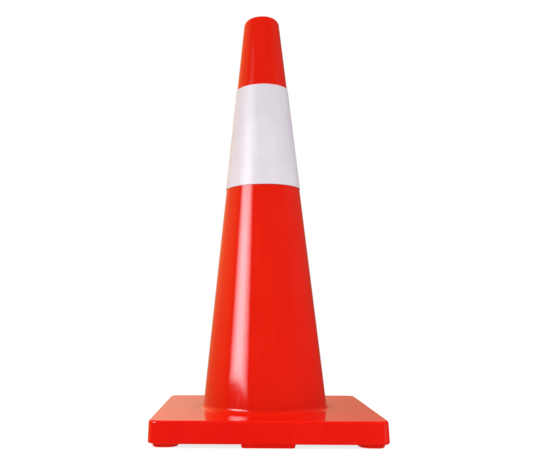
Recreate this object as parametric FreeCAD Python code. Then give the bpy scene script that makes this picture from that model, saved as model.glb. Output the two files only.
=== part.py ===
"""Road traffic cone of the 28 inch class, built as the pieces that it is made of.

A tapered, hollow PVC body stands through a heavy square base. The body's foot ring lies flush in a
seat in the base's top, and its skirt runs down through the base and snaps under the base's hub. A
ballast slab of recycled PVC fills the base's underside, keyed round the ribs and the feet, which are
moulded in one with the base. A white reflective sleeve is pushed down over the tip and jams on the
taper: it is a PVC backing with a reflective film wrapped round it and lapped at the rear.

Millimetres, +Z up. The origin is on the ground, at the middle of the base. -Y is the front.
"""

import FreeCAD
import Part

import math
import os

# Driving dimensions
overall_height = 711.0
base_width = 350.0
foot_height = 6.0
base_height = 33.0  # the base's wall, without the feet
base_draft = 2.0  # degrees that each side of the base leans in
base_corner_radius = 16.0
body_foot_radius = 102.7  # the body's straight slope carried down to the base's top
body_tip_radius = 29.7  # the same slope carried up to the very top
body_wall = 3.0

# Body
foot_fillet = 7.0
foot_ring_radius = 112.0
foot_ring_thickness = 3.0
foot_ring_edge = 0.5
skirt_radius = 106.2
skirt_bottom = 9.0
snap_bead_radius = 108.4
snap_bead_height = 2.6
tip_round = 13.0
tip_hole_radius = 16.0
tip_hole_length = 8.0
tip_hole_edge = 1.4
tip_collar_wall = 3.5
stacking_rib_count = 6
stacking_rib_width = 2.5
stacking_rib_height = 0.7
stacking_rib_bottom = 60.0
stacking_rib_top = 150.0

# Base
base_top_edge = 3.5
base_bottom_edge = 2.5
base_wall = 8.0
base_web = 5.0
hub_wall = 5.0
pocket_corner_radius = 12.0
moulding_gap = 0.2
key_rib_width = 3.0
key_rib_height = 12.0

# Feet, moulded in one with the base
foot_root = 3.0  # how far a foot's outline carries on up into the base
foot_tread_edge = 3.5
corner_foot_size = 38.0
corner_foot_inset = 7.0
corner_foot_outer_radius = 10.0  # at the corner that is nearest the corner of the base
corner_foot_flank_radius = 18.0  # at its other three corners
side_foot_length = 78.0
side_foot_depth = 26.0
side_foot_inset = 2.6
side_foot_outer_radius = 4.0
side_foot_inner_radius = 11.0

# Ballast
ballast_clearance = 0.3
ballast_recess = 1.0

# Sleeve
sleeve_bottom = 405.0
sleeve_top = 581.0
sleeve_clearance = 0.3
backing_thickness = 0.5
film_thickness = 0.3
film_margin = 1.0
film_lap = 12.0

# Sizes worked out from the driving ones
base_bottom = foot_height
base_top = foot_height + base_height
half_base = base_width / 2
taper = (body_foot_radius - body_tip_radius) / (overall_height - base_top)
taper_angle = math.atan(taper)
along_radius = 1 / math.cos(taper_angle)  # turns a distance square to the slope into one along the radius
ring_bottom = base_top - foot_ring_thickness
web_bottom = ring_bottom - base_web
hub_radius = skirt_radius + moulding_gap + hub_wall
hub_bottom = skirt_bottom + snap_bead_height + moulding_gap

Z = FreeCAD.Vector(0, 0, 1)
ORIGIN = FreeCAD.Vector(0, 0, 0)
MEETING = 1e-6  # two ends nearer than this meet
LEVEL = 1e-4  # an edge that rises less than this is level


def body_radius(z):
    """Outside radius of the straight part of the body at height z."""
    return body_foot_radius - taper * (z - base_top)


def on_profile(r, z):
    """A point of a section that is turned about Z."""
    return FreeCAD.Vector(r, 0, z)


def line(start, end):
    return Part.LineSegment(start, end).toShape()


def polyline(points):
    """Straight edges from each point to the next."""
    return [line(start, end) for start, end in zip(points, points[1:])]


def arc(centre, radius, start, end):
    """An edge round centre, in the XZ plane, from one angle to another, in degrees from +X."""
    r, z = centre
    points = []
    for share in (0, 0.5, 1):
        angle = math.radians(start + (end - start) * share)
        points.append(on_profile(r + radius * math.cos(angle), z + radius * math.sin(angle)))
    return Part.Arc(*points).toShape()


def edge_start(edge):
    return edge.valueAt(edge.FirstParameter)


def edge_end(edge):
    return edge.valueAt(edge.LastParameter)


def joined(edges):
    """The same edges as a closed loop, with a straight line across each gap between them."""
    loop = []
    for this, following in zip(edges, edges[1:] + edges[:1]):
        loop.append(this)
        if edge_end(this).distanceToPoint(edge_start(following)) > MEETING:
            loop.append(line(edge_end(this), edge_start(following)))
    return Part.Wire(loop)


def turned(section):
    """The solid that a closed section makes when it turns about Z."""
    return Part.Face(section).revolve(ORIGIN, Z, 360).Solids[0]


def rounded_box(low, high, radii, z):
    """A closed wire at height z. The radii go anticlockwise round the corners, from the lowest one."""
    (x0, y0), (x1, y1) = low, high
    corners = [(x0, y0, 180), (x1, y0, 270), (x1, y1, 0), (x0, y1, 90)]
    arcs = []
    for (x, y, start), radius in zip(corners, radii):
        centre_x = x + radius * (1 if x == x0 else -1)
        centre_y = y + radius * (1 if y == y0 else -1)
        points = []
        for share in (0, 0.5, 1):
            angle = math.radians(start + 90 * share)
            across = radius * math.cos(angle)
            along = radius * math.sin(angle)
            points.append(FreeCAD.Vector(centre_x + across, centre_y + along, z))
        arcs.append(Part.Arc(*points).toShape())
    return joined(arcs)


def rounded_square(half, radius, z):
    return rounded_box((-half, -half), (half, half), [radius] * 4, z)


def column(outline, height):
    """The solid between a flat outline and the same outline higher up."""
    return Part.Face(outline).extrude(FreeCAD.Vector(0, 0, height))


def cylinder(z0, z1, radius):
    return Part.makeCylinder(radius, z1 - z0, FreeCAD.Vector(0, 0, z0), Z)


def level_edges(shape, z):
    """The edges of a shape that lie wholly at height z."""
    level = []
    for edge in shape.Edges:
        box = edge.BoundBox
        if abs(box.ZMin - z) + abs(box.ZMax - z) < LEVEL:
            level.append(edge)
    return level


def round_the_axis(shape, count):
    """Copies of a shape, evenly turned about Z."""
    copies = []
    for step in range(count):
        copy = shape.copy()
        copy.rotate(ORIGIN, Z, 360 / count * step)
        copies.append(copy)
    return copies


def body_section():
    """The body's section: skirt and snap bead, foot ring, straight taper, and a rolled tip with a hole."""
    slope = math.degrees(taper_angle)
    inner_r = body_radius(skirt_bottom) - body_wall * along_radius
    bead_top = skirt_bottom + snap_bead_height
    skirt = polyline([
        on_profile(inner_r, skirt_bottom),
        on_profile(skirt_radius, skirt_bottom),
        on_profile(snap_bead_radius, skirt_bottom + snap_bead_height / 2),
        on_profile(snap_bead_radius, bead_top),
        on_profile(skirt_radius, bead_top),
        on_profile(skirt_radius, ring_bottom),
        on_profile(foot_ring_radius, ring_bottom),
    ])

    # The ring's rounded edge, then the hollow round that runs up into the slope.
    edge_centre = (foot_ring_radius - foot_ring_edge, base_top - foot_ring_edge)
    ring_edge = arc(edge_centre, foot_ring_edge, 0, 90)
    fillet_z = base_top + foot_fillet
    fillet_r = body_radius(fillet_z) + foot_fillet * along_radius
    fillet = arc((fillet_r, fillet_z), foot_fillet, 270, 180 + slope)

    # The tip's round touches the slope and the top; the same round, less the wall, is inside it.
    tip_z = overall_height - tip_round
    tip_r = body_radius(tip_z) - tip_round * along_radius
    outer_tip = arc((tip_r, tip_z), tip_round, slope, 90)
    hole_edge_centre = (tip_hole_radius + tip_hole_edge, overall_height - tip_hole_edge)
    hole_edge = arc(hole_edge_centre, tip_hole_edge, 90, 180)

    # A collar hangs from the tip round the hole.
    hole_bottom = overall_height - tip_hole_edge - tip_hole_length
    collar_radius = tip_hole_radius + tip_collar_wall
    collar = line(on_profile(tip_hole_radius, hole_bottom), on_profile(collar_radius, hole_bottom))
    inner_round = tip_round - body_wall
    collar_angle = math.degrees(math.acos((collar_radius - tip_r) / inner_round))
    inner_tip = arc((tip_r, tip_z), inner_round, collar_angle, slope)
    return joined(skirt + [ring_edge, fillet, outer_tip, hole_edge, collar, inner_tip])


def make_body():
    """The hollow body, with low ribs inside that keep stacked cones from sticking together."""
    body = turned(body_section())
    rib_bar = Part.makeBox(
        half_base, stacking_rib_width, stacking_rib_top - stacking_rib_bottom,
        FreeCAD.Vector(0, -stacking_rib_width / 2, stacking_rib_bottom))
    rib_ring = tapered_ring(
        -body_wall - stacking_rib_height, stacking_rib_height + body_wall / 2,
        stacking_rib_bottom, stacking_rib_top)
    ribs = round_the_axis(rib_bar.common(rib_ring), stacking_rib_count)
    return body.fuse(ribs).removeSplitter()


def make_base_block():
    """The base's outside: drafted walls, round corners, rounded top and bottom edges."""
    lean = base_height * math.tan(math.radians(base_draft))
    lower = rounded_square(half_base, base_corner_radius, base_bottom)
    upper = rounded_square(half_base - lean, base_corner_radius - lean, base_top)
    block = Part.makeLoft([lower, upper], True, True)
    block = block.makeFillet(base_top_edge, level_edges(block, base_top))
    return block.makeFillet(base_bottom_edge, level_edges(block, base_bottom))


def foot_columns(grow, z0, z1):
    """The outlines of the eight feet carried from z0 to z1; grow widens them on every side."""
    corner_low = -half_base + corner_foot_inset
    corner_high = corner_low + corner_foot_size
    corner_radii = [corner_foot_outer_radius] + [corner_foot_flank_radius] * 3
    side_low = -half_base + side_foot_inset
    side_high = side_low + side_foot_depth
    side_radii = [side_foot_outer_radius] * 2 + [side_foot_inner_radius] * 2
    outlines = [
        ((corner_low, corner_low), (corner_high, corner_high), corner_radii),
        ((-side_foot_length / 2, side_low), (side_foot_length / 2, side_high), side_radii),
    ]
    columns = []
    for low, high, radii in outlines:
        grown_low = [value - grow for value in low]
        grown_high = [value + grow for value in high]
        outline = rounded_box(grown_low, grown_high, [radius + grow for radius in radii], z0)
        columns += round_the_axis(column(outline, z1 - z0), 4)
    return columns


def key_ribs(grow):
    """Two ribs across the pocket under the base's top; grow widens them on every side."""
    width = key_rib_width + 2 * grow
    height = key_rib_height + grow
    corner = FreeCAD.Vector(-half_base, -width / 2, web_bottom - height)
    return round_the_axis(Part.makeBox(base_width, width, height + grow, corner), 4)[:2]


def make_pocket(gap, z0):
    """The space under the base that the ballast fills, taken in by gap on every side."""
    half = half_base - base_wall - gap
    top = web_bottom - gap
    pocket = column(rounded_square(half, pocket_corner_radius - gap, z0), top - z0)
    pocket = pocket.cut(cylinder(z0, top, hub_radius + gap))
    pocket = pocket.cut(foot_columns(gap, z0, top))
    return pocket.cut(key_ribs(gap))


def make_base():
    """The square base: a tray with a hub, a seat for the body's foot ring, and eight feet."""
    base = make_base_block()
    base = base.cut(cylinder(ring_bottom, base_top, foot_ring_radius + moulding_gap))
    base = base.cut(cylinder(base_bottom, base_top, skirt_radius + moulding_gap))
    # Under the hub, room for the bead that snaps beneath it.
    base = base.cut(cylinder(base_bottom, hub_bottom, hub_radius))
    base = base.cut(make_pocket(0, base_bottom))
    feet = []
    for foot in foot_columns(0, 0, base_bottom + foot_root):
        feet.append(foot.makeFillet(foot_tread_edge, level_edges(foot, 0)))
    return base.fuse(feet).removeSplitter()


def make_ballast():
    """One slab that fills the pocket, slotted over the ribs and cut away round the feet."""
    return make_pocket(ballast_clearance, base_bottom + ballast_recess)


def tapered_ring(inner_offset, thickness, low, high):
    """A ring that follows the body's slope; its offset and thickness are square to the slope."""
    inner = inner_offset * along_radius
    outer = (inner_offset + thickness) * along_radius
    return turned(joined(polyline([
        on_profile(body_radius(low) + inner, low),
        on_profile(body_radius(low) + outer, low),
        on_profile(body_radius(high) + outer, high),
        on_profile(body_radius(high) + inner, high),
    ])))


def make_sleeve_backing():
    return tapered_ring(sleeve_clearance, backing_thickness, sleeve_bottom, sleeve_top)


def make_sleeve_film():
    """The film, one turn round the backing, with its end lapped over its start at the rear."""
    low = sleeve_bottom + film_margin
    high = sleeve_top - film_margin
    offset = sleeve_clearance + backing_thickness
    film = tapered_ring(offset, film_thickness, low, high)
    over = tapered_ring(offset, 2 * film_thickness, low, high)
    rear = Part.makeBox(film_lap, half_base, overall_height, FreeCAD.Vector(-film_lap / 2, 0, 0))
    return film.fuse(over.common(rear)).removeSplitter()


def main():
    parts = {
        "cone_body": make_body(),
        "base_plate": make_base(),
        "ballast_slab": make_ballast(),
        "sleeve_backing": make_sleeve_backing(),
        "sleeve_film": make_sleeve_film(),
    }
    os.makedirs("parts", exist_ok=True)
    for name, shape in parts.items():
        box = shape.BoundBox
        print(f"{name:16s} solids {len(shape.Solids)} valid {shape.isValid()} "
              f"volume {shape.Volume / 1000:7.1f} cm3  z {box.ZMin:6.1f} to {box.ZMax:6.1f}")
        shape.Solids[0].exportStep("parts/" + name + ".step")


if __name__ == "__main__":
    main()
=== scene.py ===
# %% [markdown]
# # A road cone
#
# This script dresses a road cone: a tapered PVC body, a heavy square base with a ballast slab in its
# underside, and a white reflective sleeve. The sizes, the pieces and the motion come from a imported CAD
# frame. Blender adds what the frame leaves plain: clean surfaces that reflect without facets, and
# finishes that look like the real plastics.
#
# The frame comes first, because every place in this file is worked out from it.

# %% Load the frame
import math

import bmesh
import bpy
from mathutils import Matrix, Vector


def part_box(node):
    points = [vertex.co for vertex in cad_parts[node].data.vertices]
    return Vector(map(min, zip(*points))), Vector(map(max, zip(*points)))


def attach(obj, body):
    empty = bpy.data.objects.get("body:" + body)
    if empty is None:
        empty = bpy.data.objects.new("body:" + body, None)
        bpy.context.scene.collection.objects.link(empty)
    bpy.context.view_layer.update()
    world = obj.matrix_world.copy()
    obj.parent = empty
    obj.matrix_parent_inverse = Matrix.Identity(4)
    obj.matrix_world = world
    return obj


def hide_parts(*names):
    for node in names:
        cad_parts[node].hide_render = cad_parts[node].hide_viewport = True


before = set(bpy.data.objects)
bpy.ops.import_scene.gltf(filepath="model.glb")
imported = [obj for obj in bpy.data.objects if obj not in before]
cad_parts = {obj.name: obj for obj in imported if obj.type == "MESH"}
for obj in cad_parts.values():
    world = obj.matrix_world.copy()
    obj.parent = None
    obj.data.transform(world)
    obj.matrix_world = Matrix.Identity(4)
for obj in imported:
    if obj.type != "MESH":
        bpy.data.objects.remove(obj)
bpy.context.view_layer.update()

MM = 0.001

# %% [markdown]
# ## The sizes that the pieces share
#
# A node's box gives its outer sizes. The body's straight slope is in no box, so its radii at the base's
# top and at the very top are given here, and the boxes give the two heights that it runs between.

# %% Read the sizes from the frame
body_low, body_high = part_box("cone_body")
base_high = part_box("base_plate")[1]
ballast_low, ballast_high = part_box("ballast_slab")
backing_low, backing_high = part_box("sleeve_backing")
film_low, film_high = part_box("sleeve_film")

overall_height = body_high.z
base_top = base_high.z
half_base = base_high.x
half_width = 175 * MM  # before the wall's lower edge is rounded
foot_radius = 102.7 * MM
tip_radius = 29.7 * MM
body_wall = 3 * MM
taper = (foot_radius - tip_radius) / (overall_height - base_top)
slope = math.degrees(math.atan(taper))
along_radius = math.hypot(1, taper)


def body_radius(z):
    """Outside radius of the body's straight slope at height z."""
    return foot_radius - taper * (z - base_top)


print(f"cone {overall_height:.3f} m tall on a base {2 * half_base:.3f} m wide, slope {slope:.2f} degrees")

# %% [markdown]
# ## The camera
#
# A cone looks tall from low down, with the camera tipped up so that the whole height fits. The camera
# could be turned until the cone is where it should be in the view, but that tilts the base's front edge.
# Here the lens is shifted sideways instead, as an architect's is, which keeps that edge level while the
# camera stands to the left. The camera is set before the pieces, so every look is at the final view.

# %% Place the camera
SENSOR_WIDTH = 36
focal_length = 48.387
sideways_shift = 0.0925  # as a share of the view's width
camera_distance = 1.2238
camera_height = 0.1863
camera_offset = -0.0792
camera_turn = -2.13
camera_tip = 6.62
camera_roll = -0.05

camera_data = bpy.data.cameras.new("camera")
camera_data.sensor_width = SENSOR_WIDTH
camera_data.lens = focal_length
camera_data.shift_x = sideways_shift
camera = bpy.data.objects.new("camera", camera_data)
bpy.context.scene.collection.objects.link(camera)
heading = Matrix.Rotation(math.radians(-camera_turn), 4, "Z")
stand = heading @ Vector((camera_offset, -camera_distance, camera_height))
tip_up = Matrix.Rotation(math.radians(90 + camera_tip), 4, "X")
roll = Matrix.Rotation(math.radians(camera_roll), 4, "Z")
camera.matrix_world = Matrix.Translation(stand) @ heading @ tip_up @ roll
bpy.context.scene.camera = camera
print(f"camera at {tuple(round(v, 3) for v in stand)}, lens {focal_length:.1f} mm")

# %% [markdown]
# ## Turning a round piece
#
# The body and the sleeve are round, so they are made as a potter would: a circle is drawn at the first
# point of the outline, and then extruded and resized from point to point until it meets itself again.
# A screw or spin of a drawn section gives the same mesh. Going ring by ring keeps every step a tool
# that can be used by hand.

# %% Helpers for edit mode
def clear_selection():
    bpy.ops.object.select_all(action="DESELECT")


def edit(piece):
    """Opens one piece in edit mode, with nothing selected in it."""
    clear_selection()
    piece.select_set(True)
    bpy.context.view_layer.objects.active = piece
    bpy.ops.object.mode_set(mode="EDIT")
    bpy.ops.mesh.select_all(action="DESELECT")


def done():
    bpy.ops.object.mode_set(mode="OBJECT")


def settle(piece, name):
    """Names a new primitive and puts its place and size into its mesh."""
    piece.name = name
    piece.data.name = name
    bpy.ops.object.transform_apply(location=True, rotation=True, scale=True)
    return piece


LEVEL = 0.05 * MM


def pick_edges(piece, wanted):
    """Selects the edges of a piece in edit mode whose two end points pass a test."""
    bpy.ops.mesh.select_all(action="DESELECT")
    bpy.ops.mesh.select_mode(type="EDGE")
    mesh = bmesh.from_edit_mesh(piece.data)
    for edge in mesh.edges:
        if wanted(edge.verts[0].co, edge.verts[1].co):
            edge.select_set(True)
    bmesh.update_edit_mesh(piece.data)


def pick_level_face(piece, z):
    """Selects the flat face at height z."""
    bpy.ops.mesh.select_all(action="DESELECT")
    bpy.ops.mesh.select_mode(type="FACE")
    mesh = bmesh.from_edit_mesh(piece.data)
    for face in mesh.faces:
        if all(abs(vert.co.z - z) < LEVEL for vert in face.verts):
            face.select_set(True)
    bmesh.update_edit_mesh(piece.data)


def round_rim(piece, z, offset, segments):
    """Rounds the edges that lie at height z."""
    edit(piece)
    pick_edges(piece, lambda a, b: abs(a.z - z) < LEVEL and abs(b.z - z) < LEVEL)
    bpy.ops.mesh.bevel(offset=offset, segments=segments)
    done()


def round_uprights(piece, wanted, offset, segments):
    """Rounds the upright edges whose (x, y) place passes a test."""
    edit(piece)
    pick_edges(piece, lambda a, b: abs(a.z - b.z) > LEVEL and wanted(a.x, a.y))
    bpy.ops.mesh.bevel(offset=offset, segments=segments)
    done()


def arc(centre, radius, start, end, steps):
    """Points of a section's round, as (radius, height), from one angle to another in degrees."""
    points = []
    for step in range(steps + 1):
        angle = math.radians(start + (end - start) * step / steps)
        points.append((centre[0] + radius * math.cos(angle), centre[1] + radius * math.sin(angle)))
    return points


def straight(start, end, steps):
    """Points between two ends of a section's straight, without the ends."""
    shares = [step / steps for step in range(1, steps)]
    return [tuple(a + (b - a) * share for a, b in zip(start, end)) for share in shares]


MERGE = 0.004 * MM


def turn(name, outline, sides):
    """Turns a closed outline of (radius, height) points round Z, ring by ring."""
    clear_selection()
    radius, height = outline[0]
    bpy.ops.mesh.primitive_circle_add(vertices=sides, radius=radius, location=(0, 0, height))
    piece = settle(bpy.context.object, name)
    bpy.ops.object.mode_set(mode="EDIT")
    bpy.ops.mesh.select_all(action="SELECT")
    for (r0, z0), (r1, z1) in zip(outline, outline[1:] + outline[:1]):
        bpy.ops.mesh.extrude_region_move(TRANSFORM_OT_translate={"value": (0, 0, z1 - z0)})
        bpy.ops.transform.resize(value=(r1 / r0, r1 / r0, 1), center_override=(0, 0, z1))
    bpy.ops.mesh.select_all(action="SELECT")
    bpy.ops.mesh.remove_doubles(threshold=MERGE)
    bpy.ops.mesh.normals_make_consistent(inside=False)
    done()
    return piece


TURNED_ANGLE = 40
MOULDED_ANGLE = 32


def smooth(piece, angle):
    """Shades a piece smooth, apart from edges sharper than the angle in degrees."""
    clear_selection()
    piece.select_set(True)
    bpy.context.view_layer.objects.active = piece
    bpy.ops.object.shade_smooth_by_angle(angle=math.radians(angle))


def even_out(piece):
    """Keeps the shading of large faces true right up to the small rounds beside them."""
    clear_selection()
    bpy.context.view_layer.objects.active = piece
    modifier = piece.modifiers.new("weighted_normals", "WEIGHTED_NORMAL")
    modifier.keep_sharp = True
    bpy.ops.object.modifier_apply(modifier=modifier.name)


def measure(piece):
    faces = len(piece.data.polygons)
    print(f"{piece.name}: {faces} faces, {piece.dimensions.x:.4f} x {piece.dimensions.z:.4f} m")

# %% [markdown]
# ## The body
#
# The real body is injection moulded from soft PVC. Its skirt goes through the base, a hollow round
# blends it into a flat foot ring, and the tip is rolled over into a short collar round an open hole.
# The mould's sharp corners all come out slightly rounded, so each corner of the outline is a small arc.

# %% Turn the body
foot_fillet = 7 * MM
ring_thickness = 3 * MM
ring_edge = 0.5 * MM
skirt_radius = 106.2 * MM
bead_radius = 108.4 * MM
bead_height = 2.6 * MM
small_round = 0.4 * MM  # on the corners of the skirt, the bead and the collar
tip_round = 13 * MM
hole_radius = 16 * MM
hole_length = 8 * MM
hole_edge = 1.4 * MM
collar_wall = 3.5 * MM
ROUND_BODY = 192


def body_outline():
    ring_radius = body_high.x
    ring_bottom = base_top - ring_thickness
    skirt_bottom = body_low.z
    bead_top = skirt_bottom + bead_height
    inner_foot = body_radius(skirt_bottom) - body_wall * along_radius
    outline = arc((inner_foot + small_round, skirt_bottom + small_round), small_round, 180, 270, 3)
    outline.append((skirt_radius, skirt_bottom))
    outline.append((bead_radius, skirt_bottom + bead_height / 2))
    outline += arc((bead_radius - small_round, bead_top - small_round), small_round, 0, 90, 3)
    outline.append((skirt_radius, bead_top))
    outline.append((skirt_radius, ring_bottom))
    outline.append((ring_radius, ring_bottom))
    outline += arc((ring_radius - ring_edge, base_top - ring_edge), ring_edge, 0, 90, 4)

    fillet_z = base_top + foot_fillet
    fillet_r = body_radius(fillet_z) + foot_fillet * along_radius
    fillet = arc((fillet_r, fillet_z), foot_fillet, 270, 180 + slope, 16)
    tip_z = overall_height - tip_round
    tip_r = body_radius(tip_z) - tip_round * along_radius
    outer_tip = arc((tip_r, tip_z), tip_round, slope, 90, 16)
    outline += fillet + straight(fillet[-1], outer_tip[0], 24) + outer_tip

    outline += arc((hole_radius + hole_edge, overall_height - hole_edge), hole_edge, 90, 180, 5)
    hole_bottom = overall_height - hole_edge - hole_length
    collar_radius = hole_radius + collar_wall
    outline += arc((hole_radius + small_round, hole_bottom + small_round), small_round, 180, 270, 3)
    outline += arc((collar_radius - small_round, hole_bottom + small_round), small_round, 270, 360, 3)
    inner_round = tip_round - body_wall
    collar_angle = math.degrees(math.acos((collar_radius - tip_r) / inner_round))
    outline += arc((tip_r, tip_z), inner_round, collar_angle, slope, 8)
    return outline


body = turn("body_shell", body_outline(), ROUND_BODY)
measure(body)

# %% [markdown]
# Cones are stored nested in each other, and low ribs inside the body keep a stack from jamming. One rib
# is modelled from a cube whose far end is drawn in, and the others are copies of it, each turned on by
# the same angle. The ribs are moulded with the body, so a Boolean modifier makes them one with it.

# %% Add the stacking ribs
rib_count = 6
rib_width = 2.5 * MM
rib_height = 0.7 * MM
rib_bottom = 60 * MM
rib_top = 150 * MM
rib_round = 0.25 * MM


def make_rib():
    clear_selection()
    depth = rib_height + body_wall / 2
    outer = body_radius(rib_bottom) - (body_wall / 2) * along_radius
    middle = (outer - depth / 2, 0, (rib_bottom + rib_top) / 2)
    bpy.ops.mesh.primitive_cube_add(size=1, location=middle, scale=(depth, rib_width, rib_top - rib_bottom))
    rib = settle(bpy.context.object, "stacking_rib")
    edit(rib)
    pick_level_face(rib, rib_top)
    bpy.ops.transform.translate(value=(-taper * (rib_top - rib_bottom), 0, 0))
    bpy.ops.mesh.select_all(action="SELECT")
    bpy.ops.mesh.bevel(offset=rib_round, segments=2)
    done()
    return rib


def copy_round(piece, count):
    """The piece and its copies, evenly turned about Z, each with its own mesh."""
    copies = [piece]
    for step in range(1, count):
        copy = piece.copy()
        copy.data = piece.data.copy()
        copy.data.transform(Matrix.Rotation(2 * math.pi * step / count, 4, "Z"))
        bpy.context.scene.collection.objects.link(copy)
        copies.append(copy)
    return copies


def join(target, others):
    clear_selection()
    for other in others:
        other.select_set(True)
    target.select_set(True)
    bpy.context.view_layer.objects.active = target
    bpy.ops.object.join()
    return target


def combine(piece, tool, operation):
    """Joins a tool to a piece or cuts it away, and removes the tool."""
    clear_selection()
    bpy.context.view_layer.objects.active = piece
    modifier = piece.modifiers.new(operation.lower(), "BOOLEAN")
    modifier.operation = operation
    modifier.solver = "EXACT"
    modifier.use_self = True
    modifier.object = tool
    bpy.ops.object.modifier_apply(modifier=modifier.name)
    bpy.data.objects.remove(tool)


ribs = copy_round(make_rib(), rib_count)
combine(body, join(ribs[0], ribs[1:]), "UNION")
smooth(body, TURNED_ANGLE)
even_out(body)
measure(body)
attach(body, "cone")
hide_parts("cone_body")

# %% [markdown]
# ## The base
#
# The base is a heavy moulded tray, open underneath. It starts as a cube. Its top is drawn in for the
# draft that lets it leave the mould, its four upright edges are rounded first, and then its rims, in
# that order, so that the rims' rounds run on round the corners. The underside is inset and pushed up
# to make the tray.

# %% Shape the base's tray
base_bottom = 6 * MM
base_draft = 2
corner_round = 16 * MM
top_round = 3.5 * MM
bottom_round = 2.5 * MM
tray_wall = 8 * MM
roof_under_ring = 5 * MM
tray_roof = base_top - ring_thickness - roof_under_ring


def add_block(name, low, high):
    """A cube with these two corners."""
    clear_selection()
    middle = [(a + b) / 2 for a, b in zip(low, high)]
    size = [b - a for a, b in zip(low, high)]
    bpy.ops.mesh.primitive_cube_add(size=1, location=middle, scale=size)
    return settle(bpy.context.object, name)


def make_tray():
    low = (-half_width, -half_width, base_bottom)
    high = (half_width, half_width, base_top)
    tray = add_block("base_tray", low, high)
    edit(tray)
    pick_level_face(tray, base_top)
    drawn_in = 1 - (base_top - base_bottom) * math.tan(math.radians(base_draft)) / half_width
    bpy.ops.transform.resize(value=(drawn_in, drawn_in, 1), center_override=(0, 0, base_top))
    done()
    round_uprights(tray, lambda x, y: True, corner_round, 12)
    round_rim(tray, base_top, top_round, 8)
    round_rim(tray, base_bottom, bottom_round, 5)
    edit(tray)
    pick_level_face(tray, base_bottom)
    bpy.ops.mesh.inset(thickness=tray_wall - bottom_round)
    bpy.ops.mesh.extrude_region_move(TRANSFORM_OT_translate={"value": (0, 0, tray_roof - base_bottom)})
    done()
    return tray


base = make_tray()
measure(base)

# %% [markdown]
# The base stands on eight feet, moulded in one with it, so that water runs out and a stack does not
# stick. The pad at each corner is nearly round, and a long pad under each side lies just behind the
# wall's rounded rim. Each is a block with its upright edges rounded and then its tread, and it runs up
# through the tray as a post, so that the ballast has something to grip. One of each is made and copied.

# %% Make the feet
corner_foot = 38 * MM
corner_foot_inset = 7 * MM
corner_foot_outer_round = 10 * MM
corner_foot_flank_round = 18 * MM
side_foot_length = 78 * MM
side_foot_depth = 26 * MM
side_foot_inset = 2.6 * MM
side_foot_outer_round = 4 * MM
side_foot_inner_round = 11 * MM
tread_round = 3.5 * MM
post_into_roof = 2 * MM
post_top = tray_roof + post_into_roof


def make_corner_foot(grow, low_z, high_z):
    """The front left foot; grow widens it on every side."""
    near = corner_foot_inset - grow - half_width
    far = near + corner_foot + 2 * grow
    middle = (near + far) / 2
    foot = add_block("corner_foot", (near, near, low_z), (far, far, high_z))
    round_uprights(foot, lambda x, y: x < middle and y < middle, corner_foot_outer_round + grow, 6)
    round_uprights(foot, lambda x, y: x > middle or y > middle, corner_foot_flank_round + grow, 9)
    return foot


def make_side_foot(grow, low_z, high_z):
    """The foot under the middle of the front side."""
    near = side_foot_inset - grow - half_width
    far = near + side_foot_depth + 2 * grow
    half = side_foot_length / 2 + grow
    middle = (near + far) / 2
    foot = add_block("side_foot", (-half, near, low_z), (half, far, high_z))
    round_uprights(foot, lambda x, y: y < middle, side_foot_outer_round + grow, 5)
    round_uprights(foot, lambda x, y: y > middle, side_foot_inner_round + grow, 7)
    return foot


def all_round(pieces):
    """Each piece with three copies, a quarter turn apart, joined as one."""
    copies = []
    for piece in pieces:
        copies += copy_round(piece, 4)
    return join(copies[0], copies[1:])


corner = make_corner_foot(0, 0, post_top)
side = make_side_foot(0, 0, post_top)
round_rim(corner, 0, tread_round, 5)
round_rim(side, 0, tread_round, 5)
feet = all_round([corner, side])
measure(feet)

# %% [markdown]
# What has to become one moulding is joined with Boolean modifiers, which are then applied. The feet,
# the hub and the ribs all end inside the tray's roof, so no two faces lie on each other, which is what
# makes a Boolean fail.

# %% Join the base and cut it
ROUND_BASE = 128
moulding_gap = 0.2 * MM
hub_wall = 5 * MM
hub_radius = skirt_radius + moulding_gap + hub_wall
hub_bottom = body_low.z + bead_height + moulding_gap
key_rib_width = 3 * MM
key_rib_height = 12 * MM
rib_end_in_wall = 2 * MM
BEYOND = 5 * MM


def add_cylinder(name, radius, low_z, high_z):
    clear_selection()
    bpy.ops.mesh.primitive_cylinder_add(
        vertices=ROUND_BASE, radius=radius, depth=high_z - low_z, location=(0, 0, (low_z + high_z) / 2))
    return settle(bpy.context.object, name)


def key_ribs(grow):
    """Two crossed ribs under the roof."""
    width = key_rib_width / 2 + grow
    low = tray_roof - key_rib_height - grow
    reach = half_base - tray_wall + rib_end_in_wall
    along_x = add_block("key_rib", (-reach, -width, low), (reach, width, post_top))
    along_y = add_block("key_rib", (-width, -reach, low), (width, reach, post_top))
    return along_x, along_y


combine(base, feet, "UNION")
for rib in key_ribs(0):
    combine(base, rib, "UNION")
combine(base, add_cylinder("hub", hub_radius, hub_bottom, post_top), "UNION")
skirt_hole = add_cylinder("skirt_hole", skirt_radius + moulding_gap, -BEYOND, base_top + BEYOND)
combine(base, skirt_hole, "DIFFERENCE")
seat_radius = body_high.x + moulding_gap
ring_seat = add_cylinder("ring_seat", seat_radius, base_top - ring_thickness, base_top + BEYOND)
combine(base, ring_seat, "DIFFERENCE")
measure(base)
smooth(base, MOULDED_ANGLE)
even_out(base)
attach(base, "cone")
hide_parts("base_plate")

# %% [markdown]
# ## The ballast
#
# Weight low down keeps a cone standing. The slab is ground-up scrap PVC pressed into the tray while
# warm, so it follows the posts and the ribs closely and its edges slump a little. It is a block with
# rounded edges, cut back round everything that stands in the tray.

# %% Make the ballast slab
ballast_gap = 0.3 * MM
slab_corner_round = 12 * MM
slab_edge_round = 0.8 * MM


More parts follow.
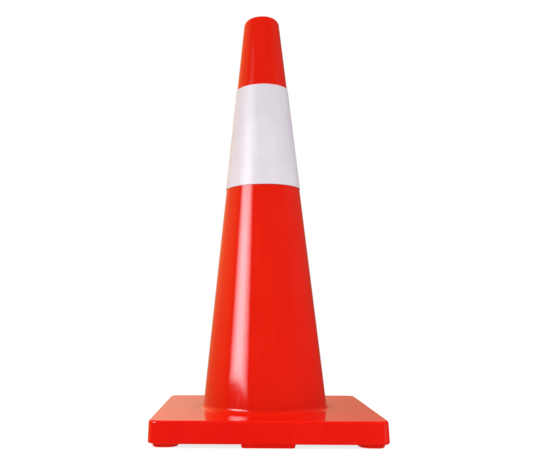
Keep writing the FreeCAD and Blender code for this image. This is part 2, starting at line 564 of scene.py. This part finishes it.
def make_ballast():
    half = ballast_high.x
    slab = add_block("ballast_block", (-half, -half, ballast_low.z), (half, half, ballast_high.z))
    round_uprights(slab, lambda x, y: True, slab_corner_round, 6)
    combine(slab, all_round([
        make_corner_foot(ballast_gap, -BEYOND, base_top),
        make_side_foot(ballast_gap, -BEYOND, base_top),
    ]), "DIFFERENCE")
    combine(slab, add_cylinder("hub_clearance", hub_radius + ballast_gap, -BEYOND, base_top), "DIFFERENCE")
    for rib in key_ribs(ballast_gap):
        combine(slab, rib, "DIFFERENCE")
    round_rim(slab, ballast_low.z, slab_edge_round, 3)
    return slab


ballast = make_ballast()
smooth(ballast, MOULDED_ANGLE)
even_out(ballast)
measure(ballast)
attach(ballast, "cone")
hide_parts("ballast_slab")

# %% [markdown]
# ## The sleeve
#
# The sleeve is a tapered PVC ring with a reflective film on its outside. The ring is turned like the
# body. The film is cut flat and wrapped round, so it has two ends, and one laps over the other at the
# rear. The same is done here: its section is spun almost all the way round, its last end is lifted by
# the film's thickness, and it is spun on over its own beginning.

# %% Make the sleeve's ring
sleeve_gap = 0.3 * MM
backing_thickness = 0.5 * MM
film_thickness = 0.3 * MM
backing_edge = 0.12 * MM
film_edge = 0.08 * MM
ROUND_SLEEVE = 160


def sleeve_section(offset, thickness, low, high, edge):
    """A closed section that follows the slope, with its four corners rounded by edge."""
    inner = offset * along_radius
    outer = (offset + thickness) * along_radius
    return [
        (body_radius(low + edge) + inner, low + edge),
        (body_radius(low) + inner + edge, low),
        (body_radius(low) + outer - edge, low),
        (body_radius(low + edge) + outer, low + edge),
        *straight((body_radius(low + edge) + outer, low + edge),
                  (body_radius(high - edge) + outer, high - edge), 10),
        (body_radius(high - edge) + outer, high - edge),
        (body_radius(high) + outer - edge, high),
        (body_radius(high) + inner + edge, high),
        (body_radius(high - edge) + inner, high - edge),
    ]


backing_section = sleeve_section(sleeve_gap, backing_thickness, backing_low.z, backing_high.z, backing_edge)
backing = turn("sleeve_carrier", backing_section, ROUND_SLEEVE)
smooth(backing, TURNED_ANGLE)
measure(backing)
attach(backing, "sleeve")
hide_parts("sleeve_backing")

# %% [markdown]
# The film's lap could be a second strip laid on a closed ring, but then the film would have no end to
# see. Spinning one section past its own start keeps it a single strip, as it is on the real sleeve.

# %% Wrap the film
film_lap = 12 * MM
FILM_STEPS = 156
LAP_STEPS = 6


def section_piece(name, section, angle):
    """A flat piece with the section's outline, standing at an angle round Z."""
    clear_selection()
    bpy.ops.mesh.primitive_circle_add(vertices=len(section), radius=1)
    piece = settle(bpy.context.object, name)
    for vert, (radius, height) in zip(piece.data.vertices, section):
        vert.co = (radius * math.cos(angle), radius * math.sin(angle), height)
    return piece


def wrap_film():
    middle_radius = body_radius((film_low.z + film_high.z) / 2)
    lap_angle = film_lap / middle_radius
    start = math.pi / 2 + lap_angle / 2
    offset = sleeve_gap + backing_thickness
    section = sleeve_section(offset, film_thickness, film_low.z, film_high.z, film_edge)
    film = section_piece("reflective_wrap", section, start)
    edit(film)
    bpy.ops.mesh.select_all(action="SELECT")
    bpy.ops.mesh.edge_face_add()
    once_round = 2 * math.pi - lap_angle
    bpy.ops.mesh.spin(steps=FILM_STEPS, angle=once_round, center=(0, 0, 0), axis=(0, 0, 1))
    # The end that the spin leaves selected is lifted clear of the film's start, then carried over it.
    bpy.ops.mesh.spin(steps=1, angle=lap_angle / LAP_STEPS, center=(0, 0, 0), axis=(0, 0, 1))
    end = start + once_round
    outward = Vector((math.cos(end), math.sin(end), 0)) * film_thickness * along_radius
    bpy.ops.transform.translate(value=outward)
    bpy.ops.mesh.spin(steps=LAP_STEPS, angle=lap_angle, center=(0, 0, 0), axis=(0, 0, 1))
    bpy.ops.mesh.select_all(action="SELECT")
    bpy.ops.mesh.normals_make_consistent(inside=False)
    done()
    return film


film = wrap_film()
smooth(film, TURNED_ANGLE)
measure(film)
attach(film, "sleeve")
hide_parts("sleeve_film")

# %% [markdown]
# ## Writing a finish as sums
#
# A finish is a tree of shader nodes. Wired by hand, such a tree is hard to read, so each output is
# wrapped in a small class whose sums and products add the Math nodes for them. One method adds every
# other kind of node. Colours and vectors never go through a sum, because a Math node turns them grey.

# %% Small classes for shader maths
class Wire:
    """An output of a node. Sums and products of wires are wires too."""

    def __init__(self, recipe, socket):
        self.recipe = recipe
        self.socket = socket

    def maths(self, operation, first, second):
        return self.recipe.add("ShaderNodeMath", {"operation": operation}, {0: first, 1: second})

    def __add__(self, other):
        return self.maths("ADD", self, other)

    def __radd__(self, other):
        return self.maths("ADD", other, self)

    def __sub__(self, other):
        return self.maths("SUBTRACT", self, other)

    def __rsub__(self, other):
        return self.maths("SUBTRACT", other, self)

    def __mul__(self, other):
        return self.maths("MULTIPLY", self, other)

    def __rmul__(self, other):
        return self.maths("MULTIPLY", other, self)


class Recipe:
    """Nodes added to one tree."""

    def __init__(self, tree):
        self.tree = tree

    def add(self, kind, settings=None, sockets=None, output=0):
        """Adds a node. A ramp's stops are a setting, as (position, colour) pairs."""
        node = self.tree.nodes.new(kind)
        for key, value in (settings or {}).items():
            if key == "stops":
                self.set_stops(node.color_ramp, value)
            else:
                setattr(node, key, value)
        for key, value in (sockets or {}).items():
            self.feed(node.inputs[key], value)
        return Wire(self, node.outputs[output])

    def feed(self, socket, value):
        if isinstance(value, Wire):
            self.tree.links.new(value.socket, socket)
        else:
            socket.default_value = value

    def set_stops(self, ramp, stops):
        while len(ramp.elements) < len(stops):
            ramp.elements.new(1)
        for element, (position, color) in zip(ramp.elements, stops):
            element.position = position
            element.color = (*color, 1)

    def fade(self, value, low, high, start=0, end=1):
        """A soft step: start where the value is below low, end where it is above high."""
        settings = {"interpolation_type": "SMOOTHSTEP"}
        sockets = {"Value": value, "From Min": low, "From Max": high, "To Min": start, "To Max": end}
        return self.add("ShaderNodeMapRange", settings, sockets)


class Finish(Recipe):
    """A material, built from its object coordinates up."""

    def __init__(self, name):
        self.material = bpy.data.materials.new(name)
        self.material.use_nodes = True
        super().__init__(self.material.node_tree)
        self.shader = self.tree.nodes["Principled BSDF"]
        self.place = self.add("ShaderNodeTexCoord", output="Object")

    def noise(self, scale, detail=2, roughness=0.5, stretch=(1, 1, 1)):
        """Noise from 0 to 1, with scale in lumps per metre."""
        where = self.add("ShaderNodeMapping", {}, {"Vector": self.place, "Scale": stretch})
        sockets = {"Vector": where, "Scale": scale, "Detail": detail, "Roughness": roughness}
        return self.add("ShaderNodeTexNoise", {}, sockets)

    def blend(self, share, first, second):
        """A colour between two others."""
        return self.add("ShaderNodeMix", {"data_type": "RGBA"}, {0: share, 6: first, 7: second}, output=2)

    def height(self):
        return self.add("ShaderNodeSeparateXYZ", {}, {0: self.place}, output=2)

    def finish(self, base_color, roughness, relief, depth, **constants):
        """Connects the shader. depth is how deep the relief is, in metres."""
        bump = self.add("ShaderNodeBump", {}, {"Strength": 1, "Distance": depth, "Height": relief})
        self.feed(self.shader.inputs["Base Color"], base_color)
        self.feed(self.shader.inputs["Roughness"], roughness)
        self.feed(self.shader.inputs["Normal"], bump)
        for key, value in constants.items():
            self.shader.inputs[key.replace("_", " ")].default_value = value
        return self.material


def dress(piece, material):
    piece.data.materials.clear()
    piece.data.materials.append(material)

# %% [markdown]
# ## The glossy PVC
#
# Pigmented PVC is deep orange-red all the way through, and its gloss is the polish of the mould. What
# stops it from looking like paint is small: slow changes of tone where the melt flowed, a skin that is
# not quite flat, and a dulling where the cone is handled and stacked. The base gets the same recipe,
# with a skin that is further from flat, because it is thicker and shrinks unevenly as it cools.

# %% Make the glossy PVC
BODY_DEEP = (0.63, 0.0085, 0.002, 1)
BODY_BRIGHT = (0.67, 0.012, 0.003, 1)
BASE_DEEP = (0.63, 0.0045, 0.0015, 1)
BASE_BRIGHT = (0.67, 0.007, 0.002, 1)
DULLED = (0.62, 0.09, 0.06, 1)
WEAR = 0.5
body_ripple = 0.15 * MM
base_ripple = 1.1 * MM
grain_depth = 0.001 * MM
scratch_depth = 0.003 * MM


def glossy_pvc(name, deep, bright, roughness_when_new, ripple):
    """PVC between two tones. ripple is how far its skin is from flat, in metres."""
    pvc = Finish(name)
    tone = pvc.noise(7, detail=3)
    flow = pvc.noise(60, detail=2, stretch=(1, 1, 0.07))
    grain = pvc.noise(2200, detail=1)
    share = pvc.fade(tone * 0.6 + flow * 0.4, 0.3, 0.7)
    color = pvc.blend(share, deep, bright)
    handled = pvc.fade(pvc.noise(28, detail=6, roughness=0.7), 0.56, 0.74)
    scratch = pvc.fade(pvc.noise(260, detail=2, stretch=(1, 1, 0.12)), 0.66, 0.74)
    low_down = 1 - pvc.fade(pvc.height(), 0.02, 0.2)
    worn = (handled * 0.5 + scratch * 0.5) * (0.25 + low_down * 0.75) * WEAR
    color = pvc.blend(worn * 0.08, color, DULLED)
    roughness = roughness_when_new + tone * 0.03 + grain * 0.02 + worn * 0.25
    waves = pvc.noise(24, detail=1)
    relief = waves + grain * (grain_depth / ripple) - worn * (scratch_depth / ripple)
    return pvc.finish(color, roughness, relief, ripple, IOR=1.53)


dress(body, glossy_pvc("body_pvc", BODY_DEEP, BODY_BRIGHT, 0.05, body_ripple))
dress(base, glossy_pvc("base_pvc", BASE_DEEP, BASE_BRIGHT, 0.07, base_ripple))
print("glossy PVC on the body and the base")

# %% [markdown]
# ## The ballast's scrap PVC
#
# Ground scrap keeps the shape of its chips. A Voronoi pattern gives the chips, each with its own dark
# tone, and a few of them are leftover orange. The pressed face is matt and slightly pitted.

# %% Make the scrap PVC
CHIPS_PER_METRE = 260
DARK_CHIP = (0.018, 0.018, 0.019, 1)
PALE_CHIP = (0.060, 0.056, 0.052, 1)
ORANGE_CHIP = (0.34, 0.03, 0.012, 1)


def scrap_pvc():
    scrap = Finish("scrap_pvc")
    sockets = {"Vector": scrap.place, "Scale": CHIPS_PER_METRE}
    chips = scrap.add("ShaderNodeTexVoronoi", {}, sockets, output="Color")
    edges = scrap.add("ShaderNodeTexVoronoi", {"feature": "DISTANCE_TO_EDGE"}, sockets)
    tone = scrap.add("ShaderNodeSeparateColor", {}, {0: chips}, output=0)
    pick = scrap.add("ShaderNodeSeparateColor", {}, {0: chips}, output=1)
    color = scrap.blend(tone, DARK_CHIP, PALE_CHIP)
    leftover = scrap.fade(pick, 0.955, 0.965)
    color = scrap.blend(leftover, color, ORANGE_CHIP)
    pits = scrap.fade(scrap.noise(90, detail=5, roughness=0.65), 0.6, 0.75)
    relief = scrap.fade(edges, 0, 0.12) * 0.5 + tone * 0.3 - pits * 0.8
    return scrap.finish(color, 0.62 + tone * 0.2, relief, 0.35 * MM)


dress(ballast, scrap_pvc())
print("scrap PVC on the ballast")

# %% [markdown]
# ## The sleeve's film and its ring
#
# The film is a clear layer over a bed of glass beads with a pearly white behind them. Close up it is
# grainy; from a distance it is a soft white with a broad sheen and a faint cool cast. The clear layer
# is the shader's coat, and the beads are its relief, finer than a grain of sand.

# %% Make the film and the ring's PVC
BEADS_PER_METRE = 2600
PEARL_DEEP = (0.585, 0.54, 0.61, 1)
PEARL_BRIGHT = (0.635, 0.59, 0.66, 1)
BEAD_GLINT = (0.74, 0.73, 0.77, 1)
SCUFFED_FILM = (0.42, 0.40, 0.42, 1)
RING_DEEP = (0.60, 0.59, 0.61, 1)
RING_BRIGHT = (0.70, 0.69, 0.70, 1)


def bead_film():
    beads = Finish("reflective_film")
    sockets = {"Vector": beads.place, "Scale": BEADS_PER_METRE}
    bead = beads.add("ShaderNodeTexVoronoi", {}, sockets)
    sparkle = beads.add("ShaderNodeTexVoronoi", {}, sockets, output="Color")
    glint = beads.add("ShaderNodeSeparateColor", {}, {0: sparkle}, output=0)
    cloud = beads.noise(14, detail=4)
    rolled = beads.noise(90, detail=2, stretch=(1, 1, 0.05))
    share = beads.fade(cloud * 0.6 + rolled * 0.4, 0.35, 0.65)
    color = beads.blend(share, PEARL_DEEP, PEARL_BRIGHT)
    color = beads.blend(glint * 0.25, color, BEAD_GLINT)
    scuff = beads.fade(beads.noise(120, detail=5, roughness=0.7, stretch=(1, 1, 0.4)), 0.6, 0.78)
    color = beads.blend(scuff * 0.12, color, SCUFFED_FILM)
    roughness = 0.34 + cloud * 0.05 + scuff * 0.12
    relief = bead * -0.25 + beads.noise(30, detail=1) * 1.2
    return beads.finish(color, roughness, relief, 0.05 * MM, Coat_Weight=0.1, Coat_Roughness=0.25, IOR=1.45)


def white_pvc():
    white = Finish("sleeve_pvc")
    cloud = white.noise(20, detail=4)
    color = white.blend(cloud, RING_DEEP, RING_BRIGHT)
    grain = white.noise(1500, detail=2)
    return white.finish(color, 0.34 + cloud * 0.1, grain, 0.02 * MM)


dress(film, bead_film())
dress(backing, white_pvc())
print("bead film and white PVC on the sleeve")

# %% [markdown]
# ## The studio
#
# The cone stands on a pale floor that fades into a white room. Even light from all round shows the
# plastic's own colour, and it is kept out of the reflections, as in a real studio, where the lights
# stand outside the angles that the gloss can see. What the gloss does see is chosen apart: a tall soft
# box to the front left for the long streak, brighter in its middle, a dim one low at the right for the
# base's corner, and a bright backdrop behind the cone that brightens its rims and its base's top.

# %% Lay the floor
FLOOR_RADIUS = 4
FLOOR_SIDES = 96
FLOOR_SOLID_TO = 0.35
FLOOR_GONE_FROM = 1.3
FLOOR_DEEP = (0.23, 0.23, 0.23, 1)
FLOOR_PALE = (0.27, 0.27, 0.27, 1)
FLOOR_GLOW = 0.8


def add_floor():
    clear_selection()
    bpy.ops.mesh.primitive_circle_add(vertices=FLOOR_SIDES, radius=FLOOR_RADIUS, fill_type="NGON")
    floor = settle(bpy.context.object, "floor")
    floor.visible_glossy = False
    pale = Finish("floor")
    cloud = pale.noise(3, detail=3)
    color = pale.blend(cloud, FLOOR_DEEP, FLOOR_PALE)
    from_middle = pale.add("ShaderNodeVectorMath", {"operation": "LENGTH"}, {0: pale.place}, output=1)
    pale.feed(pale.shader.inputs["Alpha"], pale.fade(from_middle, FLOOR_SOLID_TO, FLOOR_GONE_FROM, 1, 0))
    pale.feed(pale.shader.inputs["Emission Color"], (1, 1, 1, 1))
    pale.feed(pale.shader.inputs["Emission Strength"], FLOOR_GLOW)
    dress(floor, pale.finish(color, 0.7 + cloud * 0.1, cloud, 0.1 * MM))


add_floor()

# %% [markdown]
# The fills are suns with a very wide angle, which light evenly and cast hardly any shadow. The soft
# boxes are area lights. One area light has hard edges, so the streak's is built up from layers, each
# narrower and shorter than the one before, which fade it to both sides and towards its top. Each layer
# also stands a little nearer to the cone, because two area lights in one plane do not add up.

# %% Light the cone
COOL = (0.93, 0.94, 1)
FILL_SPREAD = math.radians(150)
FAR_AWAY = 4
STREAK_AZIMUTH = -52.5
STREAK_LAYERS = 8
LAYER_RADIANCE = 1.45
# Each layer's width, bottom, top and distance from the cone lie between these two.
LARGEST_LAYER = (1.08, 0.215, 1.40, 1.50)
SMALLEST_LAYER = (0.28, 0.255, 0.80, 1.43)


def add_light(name, kind, azimuth, elevation, distance, aim_height):
    """A light facing the cone's axis. Azimuth 0 is in front of the cone, and positive goes right."""
    light = bpy.data.lights.new(name, kind)
    lamp = bpy.data.objects.new(name, light)
    bpy.context.scene.collection.objects.link(lamp)
    across = math.radians(azimuth)
    up = math.radians(elevation)
    away = Vector((math.sin(across) * math.cos(up), -math.cos(across) * math.cos(up), math.sin(up)))
    turn_to_cone = (-away).to_track_quat("-Z", "Y").to_matrix().to_4x4()
    lamp.matrix_world = Matrix.Translation(away * distance + Vector((0, 0, aim_height))) @ turn_to_cone
    return lamp


def add_fill(name, azimuth, elevation, strength):
    """Very wide, even light that the gloss does not mirror."""
    fill = add_light(name, "SUN", azimuth, elevation, FAR_AWAY, 0)
    fill.data.angle = FILL_SPREAD
    fill.data.energy = strength
    fill.visible_glossy = False


def add_soft_box(name, azimuth, elevation, distance, aim_height, size, radiance):
    """A rectangular light that only the gloss sees. size is its width and height."""
    box = add_light(name, "AREA", azimuth, elevation, distance, aim_height)
    width, tall = size
    box.data.shape = "RECTANGLE"
    box.data.size = width
    box.data.size_y = tall
    box.data.energy = radiance * math.pi * width * tall
    box.data.color = COOL
    box.visible_diffuse = False


def add_streak():
    """A tall light built up in layers, so that it fades to both sides and towards its top."""
    for layer in range(STREAK_LAYERS):
        share = layer / (STREAK_LAYERS - 1)
        width, bottom, top, distance = [a + (b - a) * share for a, b in zip(LARGEST_LAYER, SMALLEST_LAYER)]
        size = (width, top - bottom)
        middle = (bottom + top) / 2
        add_soft_box(f"streak_{layer}", STREAK_AZIMUTH, 0, distance, middle, size, LAYER_RADIANCE)


add_fill("fill_front", 0, 35, 3.1)
add_fill("fill_left", -80, 20, 0.45)
add_fill("fill_right", 110, 60, 0.5)
add_fill("fill_back", 180, 50, 2.6)
add_streak()
add_soft_box("streak_top", STREAK_AZIMUTH, 0, 1.41, 1.37, (0.45, 0.3), 0.4)
add_soft_box("low_right", 72, 0, 1.6, -0.1, (0.8, 0.3), 0.4)

print(f"{len(bpy.data.lights)} lights")

# %% [markdown]
# A gloss shows what stands round it, so the room is part of the finish. It is written as a ramp of
# colours round the horizon, which the mirrored rays see, while the camera itself sees plain white.

# %% Set the room round it
def make_room():
    """Dark in front, a warm card at the left, and a backdrop, brightest just left of its middle."""
    world = bpy.data.worlds.new("room")
    world.use_nodes = True
    bpy.context.scene.world = world
    room = Recipe(world.node_tree)
    direction = room.add("ShaderNodeTexCoord", output="Generated")
    x, y, z = [room.add("ShaderNodeSeparateXYZ", {}, {0: direction}, output=axis) for axis in range(3)]
    turned = room.add("ShaderNodeMath", {"operation": "ARCTAN2"}, {0: x, 1: -1 * y})
    # 0 and 1 are straight behind the cone, 0.25 is at its left and 0.5 in front of it.
    stops = [
        (0.00, (0.55, 0.46, 0.32)),
        (0.02, (0.84, 0.61, 0.41)),
        (0.09, (0.65, 0.42, 0.17)),
        (0.25, (0.55, 0.30, 0.08)),
        (0.30, (0.05, 0.03, 0.015)),
        (0.66, (0.05, 0.03, 0.02)),
        (0.73, (0.12, 0.11, 0.11)),
        (0.92, (0.10, 0.08, 0.07)),
        (0.98, (0.47, 0.34, 0.21)),
        (1.00, (0.58, 0.46, 0.30)),
    ]
    around = room.add("ShaderNodeValToRGB", {"stops": stops}, {0: turned * (0.5 / math.pi) + 0.5})
    # The room is brightest a little above the horizon and goes dim overhead.
    strength = room.fade(z, 0, 0.25, 0.7, 1.25) * room.fade(z, 0.5, 0.8, 1, 0.15)
    mirrored = room.add("ShaderNodeBackground", {}, {"Color": around, "Strength": strength})
    seen = room.add("ShaderNodeBackground", {}, {"Color": (1, 1, 1, 1)})
    looking = room.add("ShaderNodeLightPath", output="Is Camera Ray")
    both = room.add("ShaderNodeMixShader", {}, {0: looking, 1: mirrored, 2: seen})
    room.feed(world.node_tree.nodes["World Output"].inputs["Surface"], both)


make_room()
bpy.context.scene.view_settings.view_transform = "Standard"
print("room, floor and lights are set")
